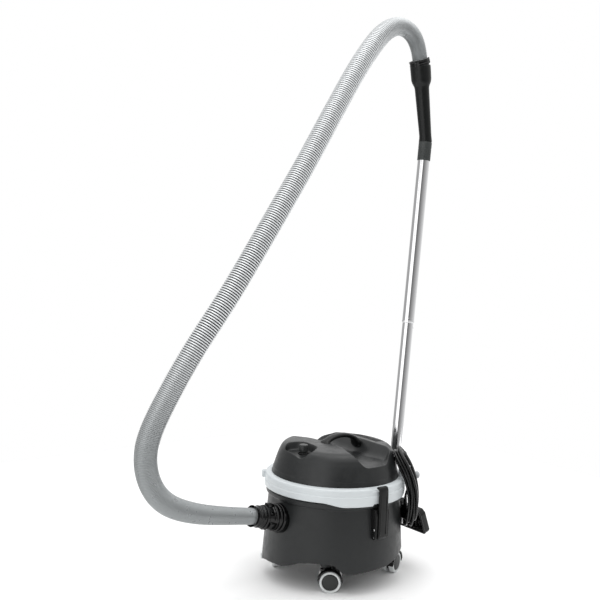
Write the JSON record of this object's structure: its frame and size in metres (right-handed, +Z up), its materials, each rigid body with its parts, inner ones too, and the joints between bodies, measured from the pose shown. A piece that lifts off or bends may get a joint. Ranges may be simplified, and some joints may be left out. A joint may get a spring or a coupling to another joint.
{
  "type": "shop vacuum",
  "caption": "Round dry tub vacuum on casters with a domed dark head, light band, ribbed hose, steel wand and floor tool parked at the rear.",
  "frame": {"origin": "on the floor, under the vertical axis of the tub", "axes": "+Z up; the hose inlet faces -Y and the wand stands at +Y; +X is to the right seen from the rear"},
  "size_m": [0.41, 0.9545, 1.5629],
  "materials": {
    "aluminium": "cast",
    "black_gloss": "gloss",
    "black_matt": "matt",
    "bristle": "bristle",
    "charcoal": "satin",
    "copper": "enamelled wire",
    "cord": "semi-gloss",
    "dark_grey": "matt",
    "filter": "felt",
    "foam": "foam",
    "hose": "semi-gloss",
    "knob": "satin",
    "motor_steel": "brushed",
    "pale_band": "semi-gloss",
    "paper": "paper",
    "plate": "brushed",
    "rubber": "matt",
    "tube_steel": "polished",
    "tyre": "matt"
  },
  "bodies": {
    "tub": {"tub_shell": "charcoal", "inlet_flange": "black_matt", "inlet_seal": "rubber", "inlet_elbow": "charcoal", "dust_bag": "paper", "latch_bracket_right": "black_matt", "latch_bracket_left": "black_matt", "latch_pins": "motor_steel", "parking_pocket": "black_matt", "hose": "hose"},
    "head": {"head_band": "pale_band", "rim_seal": "rubber", "motor_deck": "charcoal", "motor_filter": "filter", "motor_mount_ring": "rubber", "motor_housing": "motor_steel", "motor_stator": "copper", "motor_bearings": "motor_steel", "motor_screws": "motor_steel", "head_cover": "charcoal", "carry_handle": "black_matt", "exhaust_grille": "black_matt", "exhaust_foam": "foam", "switch_housing": "black_matt", "cord_gland": "black_matt", "cord_hook": "knob", "power_cord": "cord", "cord_hank": "cord", "plug_lead": "cord", "mains_plug": "black_gloss"},
    "button": {"switch_button": "black_matt"},
    "rotor": {"rotor_shaft": "motor_steel", "fan_impeller": "aluminium", "armature": "copper"},
    "latch_r": {"latch_right": "black_matt"},
    "latch_l": {"latch_left": "black_matt"},
    "hose_end": {"hose_bayonet": "black_gloss", "hose_cuff": "black_gloss"},
    "wand": {"wand_lower": "tube_steel", "wand_upper": "tube_steel", "grip": "black_matt", "tool_neck": "black_matt"},
    "bleed": {"bleed_ring": "dark_grey"},
    "swivel": {"grip_swivel": "black_gloss"},
    "tool": {"tool_body": "black_matt", "tool_sole": "plate"},
    "brushes": {"tool_brushes": "bristle"},
    "pedal": {"tool_pedal": "black_matt"},
    "caster_fr": {"caster_hood_fr": "black_gloss"},
    "wheel_fr": {"caster_tyres_fr": "tyre", "caster_hubs_fr": "dark_grey"},
    "caster_fl": {"caster_hood_fl": "black_gloss"},
    "wheel_fl": {"caster_tyres_fl": "tyre", "caster_hubs_fl": "dark_grey"},
    "caster_rr": {"caster_hood_rr": "black_gloss"},
    "wheel_rr": {"caster_tyres_rr": "tyre", "caster_hubs_rr": "dark_grey"},
    "caster_rl": {"caster_hood_rl": "black_gloss"},
    "wheel_rl": {"caster_tyres_rl": "tyre", "caster_hubs_rl": "dark_grey"}
  },
  "joints": [
    {"name": "head_lift", "type": "slide", "parent": "tub", "child": "head", "axis": [0, 0, 1], "range_m": [0, 0.11]},
    {"name": "latch_right_swing", "type": "hinge", "parent": "tub", "child": "latch_r", "pos_m": [0.195, 0, 0.156], "axis": [0, 1, 0], "range_deg": [0, 80]},
    {"name": "latch_left_swing", "type": "hinge", "parent": "tub", "child": "latch_l", "pos_m": [-0.195, 0, 0.156], "axis": [0, -1, 0], "range_deg": [0, 80]},
    {"name": "button_press", "type": "slide", "parent": "head", "child": "button", "axis": [0, 0, -1], "range_m": [0, 0.004], "stiffness_N_per_m": 600, "springref_m": -0.002},
    {"name": "rotor_spin", "type": "hinge", "parent": "head", "child": "rotor", "pos_m": [0, 0, 0.3], "axis": [0, 0, 1], "continuous": true},
    {"name": "hose_turn", "type": "hinge", "parent": "tub", "child": "hose_end", "pos_m": [0, -0.186, 0.182], "axis": [0, -0.9781, 0.2079], "continuous": true},
    {"name": "wand_lift", "type": "slide", "parent": "tub", "child": "wand", "axis": [0, 0.071, 0.9975], "range_m": [0, 0.03], "deforming": ["hose"]},
    {"name": "bleed_turn", "type": "hinge", "parent": "wand", "child": "bleed", "pos_m": [0, 0.29176, 1.19949], "axis": [0, 0.071, 0.9975], "range_deg": [0, 40]},
    {"name": "grip_turn", "type": "hinge", "parent": "wand", "child": "swivel", "pos_m": [0, 0.26088, 1.42667], "axis": [0, -0.165, 0.9863], "continuous": true},
    {"name": "tool_tilt", "type": "hinge", "parent": "wand", "child": "tool", "pos_m": [0, 0.21856, 0.17202], "axis": [1, 0, 0], "range_deg": [0, 60]},
    {"name": "brush_slide", "type": "slide", "parent": "tool", "child": "brushes", "axis": [0, -0.9272, -0.3746], "range_m": [0, 0.006]},
    {"name": "pedal_rock", "type": "hinge", "parent": "tool", "child": "pedal", "pos_m": [0, 0.24028, 0.12438], "axis": [1, 0, 0], "range_deg": [0, 12.1]},
    {"name": "caster_swivel_fr", "type": "hinge", "parent": "tub", "child": "caster_fr", "pos_m": [0.102, -0.106, 0.07], "axis": [0, 0, 1], "continuous": true},
    {"name": "wheel_spin_fr", "type": "hinge", "parent": "caster_fr", "child": "wheel_fr", "pos_m": [0.11132, -0.09489, 0.029], "axis": [-0.766, 0.6428, 0], "continuous": true},
    {"name": "caster_swivel_fl", "type": "hinge", "parent": "tub", "child": "caster_fl", "pos_m": [-0.102, -0.106, 0.07], "axis": [0, 0, 1], "continuous": true},
    {"name": "wheel_spin_fl", "type": "hinge", "parent": "caster_fl", "child": "wheel_fl", "pos_m": [-0.11456, -0.09875, 0.029], "axis": [-0.5, -0.866, 0], "continuous": true},
    {"name": "caster_swivel_rr", "type": "hinge", "parent": "tub", "child": "caster_rr", "pos_m": [0.092, 0.134, 0.07], "axis": [0, 0, 1], "continuous": true},
    {"name": "wheel_spin_rr", "type": "hinge", "parent": "caster_rr", "child": "wheel_rr", "pos_m": [0.0861, 0.14725, 0.029], "axis": [-0.9135, -0.4067, 0], "continuous": true},
    {"name": "caster_swivel_rl", "type": "hinge", "parent": "tub", "child": "caster_rl", "pos_m": [-0.092, 0.134, 0.07], "axis": [0, 0, 1], "continuous": true},
    {"name": "wheel_spin_rl", "type": "hinge", "parent": "caster_rl", "child": "wheel_rl", "pos_m": [-0.08519, 0.1468, 0.029], "axis": [-0.8829, 0.4695, 0], "continuous": true}
  ],
  "couplings": [
    {"joint": "latch_right_swing", "follows": "head_lift", "rad_per_m": 12.2},
    {"joint": "latch_left_swing", "follows": "head_lift", "rad_per_m": 12.2},
    {"joint": "pedal_rock", "follows": "brush_slide", "rad_per_m": 34.9}
  ]
}
